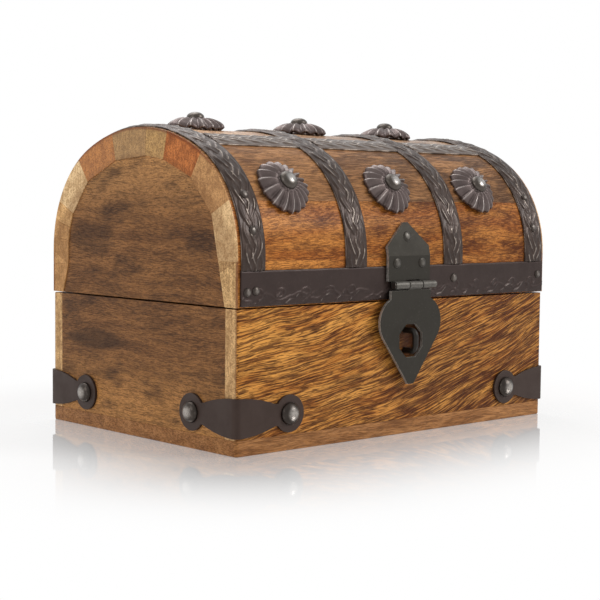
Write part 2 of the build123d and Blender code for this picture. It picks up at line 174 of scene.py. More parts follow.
class Nodes:
    """Adds nodes to one tree, of a material or of geometry."""

    def __init__(self, tree):
        self.tree = tree

    def add(self, kind, settings=None, values=None, output=0):
        node = self.tree.nodes.new(kind)
        for name, setting in (settings or {}).items():
            setattr(node, name, setting)
        for key, value in (values or {}).items():
            if isinstance(value, Value):
                self.tree.links.new(value.socket, node.inputs[key])
            else:
                node.inputs[key].default_value = value
        return Value(self, node.outputs[output]) if len(node.outputs) else node

    def join(self, x, y, z):
        return self.add("ShaderNodeCombineXYZ", None, {0: x, 1: y, 2: z})

    def split(self, vector):
        first = self.add("ShaderNodeSeparateXYZ", None, {0: vector})
        return [Value(self, socket) for socket in first.socket.node.outputs]

    def noise(self, vector, detail=2.0, roughness=0.5):
        """Noise of about 0.2 to 0.8, with one grain to a unit of the vector."""
        values = {"Vector": vector, "Scale": 1.0, "Detail": detail, "Roughness": roughness}
        return self.add("ShaderNodeTexNoise", None, values)

    def clouds(self, place, reach, shift, detail=2.0, roughness=0.5):
        """Noise whose grains reach so far in each direction of a place, and start a shift further on."""
        parts = []
        for part, size, move in zip(place, reach, shift):
            parts.append(part / size + move if move else part / size)
        return self.noise(self.join(*parts), detail, roughness)

    def blend(self, share, first, second):
        """Mixes two colours."""
        return self.add("ShaderNodeMix", {"data_type": "RGBA"}, {0: share, 6: first, 7: second}, 2)


def new_material(name, build, finish):
    """Material of what build(nodes, x, y, z), in millimetres, gives for the sockets that vary."""
    material = bpy.data.materials.new(name)
    material.use_nodes = True
    material.node_tree.nodes.clear()
    nodes = Nodes(material.node_tree)
    place = nodes.add("ShaderNodeTexCoord", output="Object")
    scaled = nodes.add("ShaderNodeVectorMath", {"operation": "SCALE"}, {0: place, "Scale": 1 / MM})
    varying = build(nodes, *nodes.split(scaled))
    height = varying.pop("height") * MM
    varying["Normal"] = nodes.add("ShaderNodeBump", None, {"Height": height, "Distance": 1.0})
    surface = nodes.add("ShaderNodeBsdfPrincipled", None, {**finish, **varying})
    nodes.add("ShaderNodeOutputMaterial", None, {0: surface})
    return material


def arch_depth(y, z):
    """How deep a point lies under the lid's outside, or behind the base's faces, in millimetres."""
    crown, haunch, centre = crown_radius / MM, haunch_radius / MM, (half_depth - haunch_radius) / MM
    up = z - (arch_top - crown_radius) / MM
    under_crown = crown - (y * y + up * up).root()
    rise = (z - (lid_bottom + spring_rise) / MM).most(0)
    out = abs(y) - centre
    under_haunch = haunch - (out * out + rise * rise).root()
    middle = (up * math.tan(haunch_angle)).above(abs(y))
    return under_crown * middle + under_haunch * (1 - middle)


# Wood, in millimetres. Each kind of mark reaches so far along the grain, across it and into the board.
sway_reach = (45, 26, 26)
ripple_reach = (13, 6, 6)
tone_reach = (30, 5, 8)
vein_reach = (20, 1.4, 2)
dash_reach = (12.0, 0.62, 1.2)
fleck_reach = (4.5, 0.40, 0.5)
swath_depth = 9

# How far the sway and the ripple carry the grain across, and the sway carries it into the board
sway_across = 8
ripple_across = 0.45
sway_deep = 5

# Where in the noise's values each mark starts and is full, and how strongly it colours the wood
light_range = (0.36, 0.62)
paler_plain = 0.6
paler_cloud = 0.5
vein_range = (0.46, 0.70)
vein_share = 0.55
line_range = (0.51, 0.57)
line_share = 0.75
pore_range = (0.55, 0.61)
pore_share = 0.62
gleam_range = (0.36, 0.47)
gleam_share = 0.35
smudge_range = (0.50, 0.70)
# The painted shade that darkens the wood towards the right, broken up by the clouds
shadow_range = (0.38, 0.56)
shadow_share = 0.85
shadow_least = 0.35
streak_range = (0.3, 1.5)

# Away from the veins the lines fade to this share
faded_range = (0.28, 0.50)
faded_least = 0.4

# The painted shade's places along X hold at this height
shadow_level = 25

# How ragged a streak's edge is, and how far outside it the other half of the chest counts
streak_rag = 2
other_half = 9

# Roughness that the dashes and the pores add, and how deep lines and pores are pressed in
dash_gloss_range = (0.3, 0.75)
dash_rough = 0.14
pore_rough = 0.12
line_pit = 0.05
pore_pit = 0.06

# Bare end grain, which starts and is full this far inside the end faces, and its marks
end_face = half_length / MM
bare_from = 0.5
bare_full = 0.25
bare_rough = 0.60
blotch_reach = (9, 4.0, 4.0)
blotch_range = (0.36, 0.68)
blotch_share = 0.6
spot_reach = (3, 0.55, 0.55)
spot_range = (0.46, 0.66)
spot_share = 0.55
spot_pit_range = (0.48, 0.65)
spot_pit = 0.12
ring_reach = (5, 1.1, 12)
ring_lean = 16
ring_range = (0.48, 0.68)
ring_share = 0.4

# Deep under the outside the end grain is a duller brown, and along its edge varnish has run over it
inner_tone = srgb(124, 80, 42)
inner_depth = (8.0, 11.0)
inner_share = 0.4
varnish_tone = srgb(118, 60, 28)
varnish_depth = (0.3, 1.3)
varnish_share = 0.75


def end_grain(nodes, x, y, z, tones, seed):
    """Colour of a board's bare end, and its dark spots."""
    pale, speck = (srgb(*tone) for tone in tones)
    blotch = nodes.clouds((x, y, z), blotch_reach, (0, seed, 0), detail=4, roughness=0.7)
    spot = nodes.clouds((x, y, z), spot_reach, (0, 0, seed), detail=2, roughness=0.7)
    across, along, up = ring_reach
    ring_place = nodes.join(x / across, y / along + seed, z / up - y / ring_lean)
    ring = nodes.noise(ring_place, detail=3, roughness=0.6)
    colour = nodes.blend(blotch.ramp(*blotch_range) * blotch_share, pale, speck)
    colour = nodes.blend(ring.ramp(*ring_range) * ring_share, colour, speck)
    colour = nodes.blend(spot.ramp(*spot_range) * spot_share, colour, speck)
    below = arch_depth(y, z)
    colour = nodes.blend(below.ramp(*inner_depth) * inner_share, colour, inner_tone)
    return nodes.blend(below.ramp(*varnish_depth, varnish_share, 0.0), colour, varnish_tone), spot


def wood(name, tones, grain="x", rise=0.0, bend=0.0, seed=0.0, fine=1.0, run=1.0, smudge=0.5, figure=1.0,
         ends=None, paler=None, darker=None, streak=None, swath=(20, 7), gloss=0.40, coat=0.08):
    """Varnished wood of (light, middle, dark) tones, its grain along X or Y.

    rise, bend: how steeply the grain climbs, and how much more for each millimetre along it.
    fine, run: the size of its lines and pores, and how far they are drawn out along the grain.
    smudge, figure: the strength of its dark clouds, and of its lines and pores.
    swath: how far the clouds reach, along the grain and across it.
    ends: the (pale, dark) tones of bare end grain.
    paler: the heights where a lighter tone starts and is full, and that tone.
    darker: painted shade, for light that falls off towards the right: the places along X where it starts
    and is full, its tone, and how much further along a point counts for each millimetre that it lies lower.
    streak: a dark mark, with its place along the grain and in height, how far it reaches both
    ways, and its strength. It shows only on the left or the front half of the chest.
    gloss, coat: the roughness of the wood, and the weight of its varnish."""
    light, middle, dark = (srgb(*tone) for tone in tones)
    deepest = shaded(dark, 0.5)
    bright = shaded(light, 1.3)

    def build(nodes, x, y, z):
        along, across, deep = (x, z, y) if grain == "x" else (y, z, x)
        sway = nodes.clouds((along, across, deep), sway_reach, (seed, 0, 0)) - 0.5
        ripple = nodes.clouds((along, across, deep), ripple_reach, (-seed, 0, 0)) - 0.5
        line = across - along * rise - along * along * (bend / 2)
        line = line + sway * sway_across + ripple * ripple_across
        place = (along, line, deep + sway * sway_deep)
        dash_size = (dash_reach[0] * fine * run, dash_reach[1] * fine, dash_reach[2])
        fleck_size = (fleck_reach[0] * fine * run, fleck_reach[1] * fine, fleck_reach[2])
        tone = nodes.clouds(place, tone_reach, (-seed, 0, 0), detail=4, roughness=0.62)
        vein = nodes.clouds(place, vein_reach, (seed, 0, 0), detail=3, roughness=0.6)
        patch = nodes.clouds(place, (*swath, swath_depth), (seed, 0, seed), detail=3, roughness=0.6)
        dash = nodes.clouds(place, dash_size, (seed, 0, 0), detail=1, roughness=0.4)
        fleck = nodes.clouds(place, fleck_size, (-seed, 0, 0), detail=1)
        lines = dash.ramp(*line_range) * vein.ramp(*faded_range, faded_least, 1.0) * figure
        pores = fleck.ramp(*pore_range) * figure
        gleam = dash.ramp(*gleam_range, 1.0, 0.0) * figure
        colour = nodes.blend(tone.ramp(*light_range), middle, light)
        if paler:
            start, full, pale = paler
            faded = z.ramp(start, full) * (patch * paler_cloud + paler_plain)
            colour = nodes.blend(faded, colour, srgb(*pale))
        colour = nodes.blend(vein.ramp(*vein_range) * vein_share * figure, colour, dark)
        colour = nodes.blend(patch.ramp(*smudge_range) * smudge, colour, dark)
        if darker:
            start, full, shade, droop = darker
            shadow = (x + (shadow_level - z) * droop).ramp(start, full)
            shadow = shadow * patch.ramp(*shadow_range, shadow_least, 1.0)
            colour = nodes.blend(shadow * shadow_share, colour, srgb(*shade))
        colour = nodes.blend(gleam * gleam_share, colour, bright)
        if streak:
            place_along, place_up, reach_along, reach_up, strength = streak
            off_along = (along - place_along) / reach_along
            off_up = (across - place_up) / reach_up
            spread = off_along * off_along + off_up * off_up + (patch - 0.5) * streak_rag
            spread = spread + deep.above(0) * other_half
            colour = nodes.blend(spread.ramp(*streak_range, strength, 0.0), colour, deepest)
        colour = nodes.blend(lines * line_share, colour, dark)
        colour = nodes.blend(pores * pore_share, colour, deepest)
        rough = dash.ramp(*dash_gloss_range, gloss, gloss + dash_rough) + pores * pore_rough
        height = pore_pit - lines * line_pit - pores * pore_pit
        if ends:
            bare = abs(x).ramp(end_face - bare_from, end_face - bare_full)
            end, spot = end_grain(nodes, x, y, z, ends, seed)
            colour = nodes.blend(bare, colour, end)
            rough = rough * (1 - bare) + bare * bare_rough
            height = height * (1 - bare) - bare * spot.ramp(*spot_pit_range) * spot_pit
        return {"Base Color": colour, "Roughness": rough, "height": height}

    finish = {"IOR": 1.45, "Specular IOR Level": 0.12, "Coat Weight": coat, "Coat Roughness": 0.22}
    return new_material(name, build, finish)


# Iron, in millimetres: how large its clouds and specks are, how much darker or more worn they make it,
# and how high they stand
iron_cloud = (6, 6, 6)
cloud_range = (0.35, 0.7)
cloud_share = 0.6
cloud_shade = 0.62
cloud_height = 0.10
iron_speck = (0.7, 0.7, 0.7)
speck_range = (0.6, 0.8)
speck_share = 0.25
speck_height = 0.03

# A cloud makes the iron smoother or duller by so much, and wear with a painted highlight polishes it on
# crests
cloud_dull_range = (0.3, 0.7)
smoother = 0.06
duller = 0.10
wear_and_highlight_range = (0.45, 1.0)
wear_and_highlight_speck_range = (0.3, 0.6)
wear_and_highlight_least = 0.5
wear_and_highlight_polish = 0.12
wear_and_highlight_metal = 0.5


def iron(name, base, worn_and_highlit, rough=0.42, metallic=0.75, crest=0.0, mottle=1.0, coat=0.1, seed=0.0):
    """Darkened iron, mottled, and made bright where the piece's crest attribute is high, as wear and as a
    painted highlight.
    """
    base, worn_and_highlit = srgb(*base), srgb(*worn_and_highlit)

    def build(nodes, x, y, z):
        cloud = nodes.clouds((x, y, z), iron_cloud, (seed, 0, 0), detail=4, roughness=0.6)
        speck = nodes.clouds((x, y, z), iron_speck, (0, 0, seed), detail=3, roughness=0.6)
        colour = nodes.blend(cloud.ramp(*cloud_range) * cloud_share * mottle, base, shaded(base, cloud_shade))
        colour = nodes.blend(speck.ramp(*speck_range) * speck_share * mottle, colour, worn_and_highlit)
        dull = cloud.ramp(*cloud_dull_range, rough - smoother, rough + duller)
        height = cloud * cloud_height * mottle + speck * speck_height * mottle
        metal = metallic
        if crest:
            mark = nodes.add("ShaderNodeAttribute", {"attribute_name": "crest"}, output="Fac")
            wear_and_highlight = mark.ramp(*wear_and_highlight_range) * speck.ramp(*wear_and_highlight_speck_range, wear_and_highlight_least, 1.0) * crest
            colour = nodes.blend(wear_and_highlight, colour, worn_and_highlit)
            dull = dull - wear_and_highlight * wear_and_highlight_polish
            metal = metallic - wear_and_highlight * (wear_and_highlight_metal * metallic)
        return {"Base Color": colour, "Roughness": dull, "Metallic": metal, "height": height}

    return new_material(name, build, {"Coat Weight": coat, "Coat Roughness": 0.25})


base_ends = ((232, 188, 132), (140, 98, 58))
# The front board is painted darker towards the right and lower down: painted shade, for the light falling off
# there. Its streak is a painted shadow behind the hasp's heart, round the staple.
front_wood = wood("golden_front_wood", ((218, 152, 72), (172, 104, 38), (72, 33, 12)), rise=0.24,
                  bend=0.0016, seed=3.1, ends=base_ends, smudge=0.45, fine=0.8, swath=(34, 3.6),
                  darker=(-80, 60, (86, 41, 10), 1.1), streak=(5, 34.7, 9, 8, 0.86))
back_wood = wood("back_wood", ((192, 128, 62), (150, 86, 34), (68, 32, 13)), rise=0.05, seed=9.4,
                 ends=base_ends, smudge=0.6)
end_look = {"tones": ((150, 102, 58), (116, 76, 42), (58, 35, 20)), "grain": "y", "fine": 0.42, "run": 0.6,
            "figure": 0.65, "swath": (26, 11)}
end_wood = wood("brown_end_wood", seed=5.2, smudge=0.7, paler=(33, 8, (206, 146, 82)),
                streak=(27, 33, 17, 3.6, 0.66), **end_look)
panel_wood = wood("brown_panel_wood", seed=8.7, smudge=0.75, paler=(74, 102, (208, 152, 94)),
                  streak=(30, 71, 14, 6, 0.42), **end_look)
bottom_wood = wood("smooth_bottom_wood", ((180, 126, 76), (150, 100, 56), (94, 56, 29)), seed=1.3,
                   smudge=0.4, figure=0.6, fine=0.6)

# The staves from front to back: the wood of each, and the (pale, dark) tones of its end grain
# Every stave is painted darker towards the right: painted shade, for the light falling off there.
orange_stave = {"tones": ((208, 136, 64), (164, 94, 36), (80, 38, 15)), "run": 0.45,
                "darker": (-70, 40, (80, 36, 8), 0)}
grey_stave = {"tones": ((184, 132, 84), (150, 104, 64), (84, 52, 30)), "darker": (-70, 40, (74, 50, 32), 0)}
# The staves on the ridge are painted paler, a painted sheen for the grazing light there, and carry a heavier
# coat of varnish.
ridge_stave_painted_sheen = {"tones": ((222, 182, 144), (200, 156, 116), (140, 98, 66)),
               "darker": (-70, 40, (74, 50, 32), 0), "coat": 0.35}
stave_looks = (
    (orange_stave, ((238, 194, 136), (128, 90, 50))),
    (orange_stave, ((250, 210, 156), (176, 134, 88))),
    (grey_stave, ((212, 160, 106), (144, 100, 62))),
    (grey_stave, ((210, 128, 70), (118, 62, 32))),
    (ridge_stave_painted_sheen, ((210, 164, 102), (130, 94, 52))),
    (ridge_stave_painted_sheen, ((188, 146, 96), (138, 104, 66))),
    (ridge_stave_painted_sheen, ((204, 136, 76), (148, 92, 50))),
    (grey_stave, ((255, 218, 166), (172, 128, 80))),
    (orange_stave, ((252, 202, 138), (164, 116, 70))),
    (orange_stave, ((232, 178, 118), (150, 106, 64))),
    (orange_stave, ((226, 172, 114), (150, 108, 64))),
    (orange_stave, ((208, 156, 102), (148, 106, 62))),
)
stave_woods = [
    wood("stave_wood_" + str(number + 1).zfill(2), rise=0.03, seed=2.7 + 1.9 * number, ends=ends, fine=0.5,
         figure=0.68, smudge=0.7, **look)
    for number, (look, ends) in enumerate(stave_looks)
]

band_iron = iron("embossed_band_iron", (62, 48, 41), (162, 148, 136), rough=0.46, crest=0.85, coat=0.25,
                 seed=1.0)
# The ridge bands are the arch bands' iron painted lighter: a painted sheen for the grazing light on the
# ridge, with a heavier coat.
ridge_iron_painted_sheen = iron("ridge_band_iron_painted_sheen", (100, 86, 77), (200, 186, 172), crest=1.0, coat=0.4, seed=1.5)
front_iron = iron("front_band_iron", (58, 45, 41), (142, 130, 122), rough=0.50, crest=0.5, mottle=0.5,
                  seed=2.0)
rosette_iron = iron("rosette_iron", (104, 91, 88), (200, 190, 184), crest=0.8, seed=3.0)
bead_iron = iron("polished_bead_iron", (88, 81, 75), (196, 192, 188), rough=0.36, metallic=0.95, crest=0.7,
                 mottle=0.8)
tack_iron = iron("tack_iron", (66, 59, 54), (186, 178, 170), rough=0.32, metallic=0.9, crest=0.8,
                 mottle=0.8, seed=5.0)
nail_iron = iron("nail_iron", (70, 61, 55), (150, 142, 134), crest=0.5, mottle=0.8, seed=5.5)
bracket_iron = iron("bracket_iron", (57, 40, 32), (120, 106, 98), rough=0.54, metallic=0.5, mottle=0.3,
                    seed=6.0)
hasp_iron = iron("hasp_iron", (49, 45, 38), (190, 184, 176), rough=0.46, crest=0.8, mottle=0.3, seed=7.0)
staple_iron = iron("staple_iron", (44, 40, 36), (96, 90, 84), mottle=0.3, seed=7.2)
rivet_iron = iron("rivet_iron", (56, 51, 44), (150, 144, 136), rough=0.40, metallic=0.7, crest=0.35,
                  mottle=0.9, seed=7.5)
barrel_iron = iron("barrel_iron", (96, 89, 83), (190, 184, 178), rough=0.32, metallic=0.9, mottle=0.6,
                   seed=8.0)
hinge_iron = iron("hinge_iron", (76, 66, 60), (130, 120, 112), rough=0.48, mottle=0.6, seed=9.0)


def place_object(name, mesh, body, material, slot, *nodes):
    """Finished piece that rides on a body and stands for CAD nodes, if any are named."""
    piece = bpy.data.objects.new(name, mesh)
    bpy.context.scene.collection.objects.link(piece)
    if material:
        mesh.materials.clear()
        mesh.materials.append(material)
    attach(piece, body)
    if nodes:
        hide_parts(*nodes)
    return piece


def cut_edge(face):
    """How bright a face of the hasp is painted, as a highlight: its cut edges most, its barrel less, its
    sides not at all.
    """
    barrel_highlight, cut_edge_highlight, steep = 0.62, 0.9, 0.7
    centre = face.calc_center_median()
    if math.hypot(centre.y - pin_y, centre.z - pin_z) < barrel_radius:
        return barrel_highlight
    return cut_edge_highlight if abs(face.normal.y) < steep else 0.0


same_point = 0.004 * MM
same_plane = math.radians(0.6)
sharp_angle = math.radians(28)


def eased(node, body, material, slot, width, worn_and_highlit=None):
    """Copy of a CAD node whose sharp edges are rounded over by a width. The last argument, a function, gives
    each face's crest: the painted highlight on it.
    """
    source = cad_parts[node].data
    work = bmesh.new()
    corners = [work.verts.new(vertex.co) for vertex in source.vertices]
    for polygon in source.polygons:
        work.faces.new([corners[index] for index in polygon.vertices])
    bmesh.ops.remove_doubles(work, verts=work.verts, dist=same_point)
    bmesh.ops.dissolve_limit(work, angle_limit=same_plane, verts=work.verts, edges=work.edges)
    crest = work.faces.layers.float.new("crest")
    for face in work.faces:
        face.smooth = True
        face[crest] = worn_and_highlit(face) if worn_and_highlit else 0.0
    mesh = bpy.data.meshes.new(node + "_eased")
    work.to_mesh(mesh)
    work.free()
    piece = place_object(node + "_eased", mesh, body, material, slot, node)
    bevel = piece.modifiers.new("eased edges", "BEVEL")
    bevel.width = width
    bevel.segments = 2
    bevel.limit_method = "ANGLE"
    bevel.angle_limit = sharp_angle
    bevel.harden_normals = True
    bevel.use_clamp_overlap = True


def repaint(node, material):
    """Gives a CAD node that stays a finish of its own."""
    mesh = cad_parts[node].data
    mesh.materials.clear()
    mesh.materials.append(material)


def new_tree(name, **inputs):
    """Geometry tree with named inputs: its node adder, and the inputs' values."""
    tree = bpy.data.node_groups.new(name, "GeometryNodeTree")
    tree.interface.new_socket(name="Geometry", in_out="OUTPUT", socket_type="NodeSocketGeometry")
    tree.interface.new_socket(name="Geometry", in_out="INPUT", socket_type="NodeSocketGeometry")
    for label, kind in inputs.items():
        tree.interface.new_socket(name=label, in_out="INPUT", socket_type="NodeSocket" + kind)
    nodes = Nodes(tree)
    start = tree.nodes.new("NodeGroupInput")
    return nodes, {label: Value(nodes, start.outputs[label]) for label in ("Geometry", *inputs)}


def shape(nodes, geometry, place, crest):
    """Moves a geometry's points, and stores on each, from 0 to 1, as its crest how much wear and painted
    highlight the iron gives it.
    """
    marked = nodes.add("GeometryNodeStoreNamedAttribute", {"data_type": "FLOAT", "domain": "POINT"},
                       {"Geometry": geometry, "Name": "crest", "Value": crest})
    return nodes.add("GeometryNodeSetPosition", None, {"Geometry": marked, "Position": place})


def end_tree(nodes, geometry, material):
    """Closes a tree with its instances made real and its material set."""
    real = nodes.add("GeometryNodeRealizeInstances", None, {0: geometry})
    smooth = nodes.add("GeometryNodeSetShadeSmooth", None, {0: real})
    painted = nodes.add("GeometryNodeSetMaterial", None, {0: smooth, "Material": material})
    nodes.add("NodeGroupOutput", None, {0: painted})
    return nodes.tree


def run_tree(tree, name, points=None, **inputs):
    """Plain mesh that a geometry tree makes from its inputs."""
    host = bpy.data.objects.new(name, points or bpy.data.meshes.new(name))
    bpy.context.scene.collection.objects.link(host)
    modifier = host.modifiers.new(name, "NODES")
    modifier.node_group = tree
    for item in tree.interface.items_tree:
        if item.in_out == "INPUT" and item.name in inputs:
            modifier[item.identifier] = inputs[item.name]
    graph = bpy.context.evaluated_depsgraph_get()
    mesh = bpy.data.meshes.new_from_object(host.evaluated_get(graph))
    bpy.data.objects.remove(host)
    mesh.name = name
    return mesh


def on_arch(nodes, x, distance, lift):
    """Position on the lid, at a distance over its arch and a height above the wood."""
    run = abs(distance)
    first = run.least(crown_half) / crown_radius
    turn = first + (run - crown_half).most(0).least(haunch_run) / haunch_radius
    drop = (run - crown_half - haunch_run).most(0)
    y = first.sin() * crown_radius + (turn.sin() - first.sin()) * haunch_radius + turn.sin() * lift
    z = arch_top - (1 - first.cos()) * crown_radius - (first.cos() - turn.cos()) * haunch_radius
    return nodes.join(x, y * distance.sign(), z - drop + turn.cos() * lift)


# The braid: its strands, the millimetres that one takes to come back, how far it swings and reaches to each
# side in half widths of the band, and its ribs in half widths of a strand
strands = 3
braid_length = 22
strand_swing = 0.42
strand_half = 0.46
rib_period = 1.05

# How high strands and ribs stand, as shares of the relief, and how much more where they pass over
strand_height = 0.34
strand_over = 0.20
rib_height = 0.32
rib_over = 0.14


def braid(nodes, run, across):
    """Strands with raised ribs, plaited over each other. Gives the height, and the crest: wear and a painted
    highlight along the ribs.
    """
    height, crest = None, None
    for strand in range(strands):
        turn = run * (2 * math.pi / braid_length) + strand * 2 * math.pi / strands
        place = (across - turn.sin() * strand_swing) / strand_half
        inside = (1 - place * place).most(0)
        over = (turn * 2).sin()
        ribs = (0.5 - (place * (2 * math.pi / rib_period)).cos() * 0.5) ** 3 * inside.ramp(0.08, 0.4)
        top = inside.ramp(0.0, 0.5) * (over * strand_over + strand_height)
        top = top + ribs * (over * rib_over + rib_height)
        line = ribs ** 1.4 * over.ramp(-0.5, 0.2)
        height = top if height is None else height.most(top)
        crest = line if crest is None else crest.most(line)
    sharp = nodes.noise(nodes.join(run / 6, across * 2, 3.0)).ramp(0.38, 0.60, 0.35, 1.0)
    inner = abs(across).ramp(0.86, 0.98, 1.0, 0.0)
    return height * inner * (sharp * 0.4 + 0.6), crest * inner * sharp


# The vine: how far its bends, leaves and curls are apart, in millimetres, and where its stem and its curls
# run, in half widths of the band below its middle
bend_period = 15
leaf_period = 7.5
curl_period = 11
stem_swing = 0.2
stem_below = 0.52
curl_below = 0.3
curl_half = 0.3


def vine(nodes, run, across):
    """A plain upper half, and a faint vine with slanting leaves along the lower half. Its crest is wear and a
    painted highlight on the vine.
    """
    drift = nodes.noise(nodes.join(run / 9, 0.0, 5.0)) - 0.5
    stem_place = (run * (2 * math.pi / bend_period) + drift * 5).sin() * stem_swing - stem_below
    stem = abs(across - stem_place).ramp(0.03, 0.15, 1.0, 0.0)
    slant = (run - across * 5 + drift * 10) % leaf_period - leaf_period / 2
    leaf = abs(slant + (across * 5).sin() * 1.1).ramp(0.1, 0.9, 1.0, 0.0)
    leaf = leaf * across.ramp(-0.5, -0.1, 1.0, 0.0)
    curl = (run - across * 2 + drift * 8) % curl_period - curl_period / 2
    ring = (curl * curl / 5 + ((across + curl_below) / curl_half) ** 2).root()
    curl = abs(ring - 0.8).ramp(0.0, 0.3, 0.9, 0.0)
    fade = nodes.noise(nodes.join(run / 6 + 4, across * 1.5, 1.0)).ramp(0.36, 0.58)
    height = (stem * 0.6).most(leaf).most(curl * 0.7) * fade
    height = height * across.ramp(-0.97, -0.85) * across.ramp(0.0, 0.15, 1.0, 0.0)
    return height, height ** 1.5


# A band: how uneven its width is, how far its edges drop, and how deep its dents are
edge_wobble = 0.05
edge_drop = 0.22 * MM
dent_depth = 0.12 * MM

# Each band's pattern starts further on by this share of its place, so that no two are the same
pattern_shift = 0.37


def band_tree(name, over_arch, relief):
    """Strip of embossed sheet that lies on the lid, along it or over its arch."""
    kinds = {"Middle": "Float", "Width": "Float", "Start": "Float", "End": "Float", "Relief": "Float",
             "Thickness": "Float", "Steps": "Int", "Rows": "Int", "Material": "Material"}
    nodes, given = new_tree(name, **kinds)
    values = {"Size X": 1.0, "Size Y": 1.0, "Vertices X": given["Steps"], "Vertices Y": given["Rows"]}
    grid = nodes.add("GeometryNodeMeshGrid", None, values)
    along, across, _ = nodes.split(nodes.add("GeometryNodeInputPosition"))
    run = given["Start"] + (along + 0.5) * (given["End"] - given["Start"])
    across = across * 2
    run_mm = run / MM
    wobble = nodes.noise(nodes.join(run_mm / 14, across.sign() * 3 + 8, given["Middle"] * 90)) - 0.5
    half_width = given["Width"] / 2 * (wobble * edge_wobble + 1)
    start = given["Middle"] / MM * pattern_shift
    pattern, crest = relief(nodes, run_mm + start, across)
    dents = nodes.noise(nodes.join(run_mm / 5, across * 1.2, given["Middle"] * 70)) - 0.5
    edge = abs(across).ramp(0.90, 1.0) * edge_drop
    lift = given["Thickness"] + pattern * given["Relief"] + dents * dent_depth - edge
    if over_arch:
        place = on_arch(nodes, given["Middle"] - across * half_width, run, lift)
    else:
        place = on_arch(nodes, run, given["Middle"] + across * half_width, lift)
    # A painted highlight along the band's edges.
    band_edge_highlight = nodes.noise(nodes.join(run_mm / 8, across, 2.0)).ramp(0.35, 0.6, 0.3, 0.9)
    band_edge_highlight = abs(across).ramp(0.94, 1.0) * band_edge_highlight
    return end_tree(nodes, shape(nodes, grid, place, crest.most(band_edge_highlight)), given["Material"])


def thicken(piece, thickness):
    """Gives a sheet its thickness, inwards."""
    solid = piece.modifiers.new("sheet", "SOLIDIFY")
    solid.thickness = thickness
    solid.offset = -1


def joined(name, meshes):
    """One mesh of several."""
    work = bmesh.new()
    for mesh in meshes:
        work.from_mesh(mesh)
    result = bpy.data.meshes.new(name)
    work.to_mesh(result)
    work.free()
    return result


braid_tree = band_tree("band over the arch", True, braid)
front_band_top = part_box("front_band")[1].z
back_gap = 0.3 * MM
for side in arch_sides:
    node = "arch_band_" + side
    middle, width = span(node, 0)
    mesh = run_tree(braid_tree, node + "_embossed", Middle=middle, Width=width, Relief=0.60 * MM,
                    Start=front_distance(front_band_top), End=arch_half - back_gap,
                    Thickness=sheet, Steps=560, Rows=66, Material=band_iron)
    thicken(place_object(node + "_embossed", mesh, "lid", None, "band_iron", node), sheet)

vine_tree = band_tree("front band", False, vine)
middle, width = span("front_band", 2)
length = span("front_band", 0)[1]
mesh = run_tree(vine_tree, "front_band_embossed", Middle=front_distance(middle), Width=width,
                Relief=0.36 * MM, Start=-length / 2, End=length / 2, Thickness=sheet, Steps=520, Rows=52,
                Material=front_iron)
thicken(place_object("front_band_embossed", mesh, "lid", None, "band_iron", "front_band"), sheet)

ridge_tree = band_tree("ridge band", False, braid)
ridge_offset = 25.8 * MM
ridge_width = 11 * MM
arch_spans = [span("arch_band_" + side, 0) for side in arch_sides]
for node, side in (("ridge_band_front", -1), ("ridge_band_back", 1)):
    pieces = []
    for (left, left_width), (right, right_width) in zip(arch_spans, arch_spans[1:]):
        pieces.append(run_tree(ridge_tree, node, Middle=side * ridge_offset, Width=ridge_width,
                               Relief=0.62 * MM, Start=left + left_width / 2, End=right - right_width / 2,
                               Thickness=sheet, Steps=150, Rows=60, Material=ridge_iron_painted_sheen))
    mesh = joined(node + "_embossed", pieces)
    thicken(place_object(node + "_embossed", mesh, "lid", ridge_iron_painted_sheen, "band_iron", node), sheet)

# A pleat: where its crest lies across it, how much the pleats' widths vary, how deep the rim is notched
# between them, and how uneven the whole is
pleat_peak = 0.35
pleat_drift = 0.8
rim_notch = 0.13
uneven_radius = 0.05
uneven_height = 0.5 * MM
pleat_steps = 12
rosette_rings = 30

# The dome: how long it stays level from the middle out, and how round its fall is
dome_level = 2.8
dome_round = 0.56

# The pressed ring round the hub, in shares of the radius, and its depth
ring_place = 0.36
ring_half = 0.10
ring_depth = 0.35


